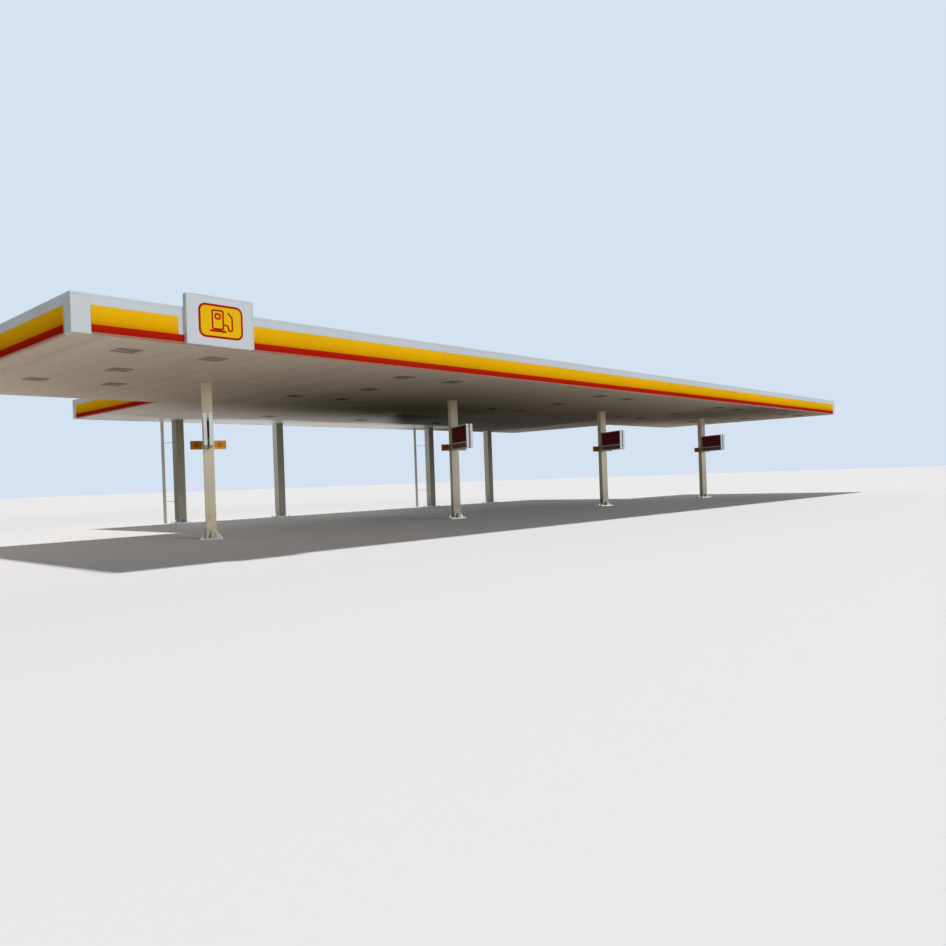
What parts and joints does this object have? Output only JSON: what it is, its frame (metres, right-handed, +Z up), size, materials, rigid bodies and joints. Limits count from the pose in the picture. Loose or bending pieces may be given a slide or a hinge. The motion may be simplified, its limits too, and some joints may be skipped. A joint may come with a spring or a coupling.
{
  "type": "filling station canopy",
  "caption": "Long flat filling station canopy with a rear wing, banded fascias, plank soffit, recessed lights and square columns with board pairs",
  "frame": {"origin": "on the ground, under the middle of the canopy's box", "axes": "+X along the front fascia to the right, +Y to the rear, +Z up"},
  "size_m": [39.34, 17.2, 5.19],
  "materials": {
    "column_paint": "satin cream paint",
    "galvanised_steel": "galvanised, matt",
    "primer_steel": "grey primer",
    "deck_sheet": "coated ribbed sheet, weathered",
    "pipe_plastic": "white rainwater pipe",
    "soffit_paint": "satin, faintly glossy planks",
    "light_body": "grey frame, dark lens",
    "fascia_white": "satin white",
    "yellow_band": "gloss yellow",
    "red_stripe": "gloss red",
    "sign_white": "gloss white",
    "board_white": "satin white",
    "board_maroon": "dark maroon",
    "flag_orange": "orange"
  },
  "bodies": {
    "root": {"front_column_1": "column_paint", "front_column_2": "column_paint", "front_column_3": "column_paint", "front_column_4": "column_paint", "rear_column_1": "column_paint", "rear_column_2": "column_paint", "rear_column_3": "column_paint", "rear_column_4": "column_paint", "front_base_plates": "galvanised_steel", "rear_base_plates": "galvanised_steel", "soffit_collars": "column_paint", "cross_beams": "primer_steel", "purlins": "galvanised_steel", "main_deck": "deck_sheet", "wing_deck": "deck_sheet", "parapet_brackets": "galvanised_steel", "rear_gutter": "deck_sheet", "downpipes": "pipe_plastic", "main_soffit": "soffit_paint", "wing_soffit": "soffit_paint", "main_lights": "light_body", "wing_lights": "light_body", "front_fascia": "fascia_white", "right_fascia": "fascia_white", "left_fascia": "fascia_white", "rear_left_fascia": "fascia_white", "rear_right_fascia": "fascia_white", "wing_left_fascia": "fascia_white", "wing_right_fascia": "fascia_white", "wing_rear_fascia": "fascia_white", "corner_panels": "fascia_white", "front_yellow_bands": "yellow_band", "side_yellow_bands": "yellow_band", "rear_yellow_bands": "yellow_band", "front_red_stripes": "red_stripe", "side_red_stripes": "red_stripe", "rear_red_stripes": "red_stripe", "sign_panel": "sign_white", "board_pair_1": "board_white", "board_pair_2": "board_white", "board_pair_3": "board_white", "board_pair_4": "board_white", "board_arms": "galvanised_steel", "board_panels": "board_maroon", "number_flags": "flag_orange"}
  },
  "joints": []
}
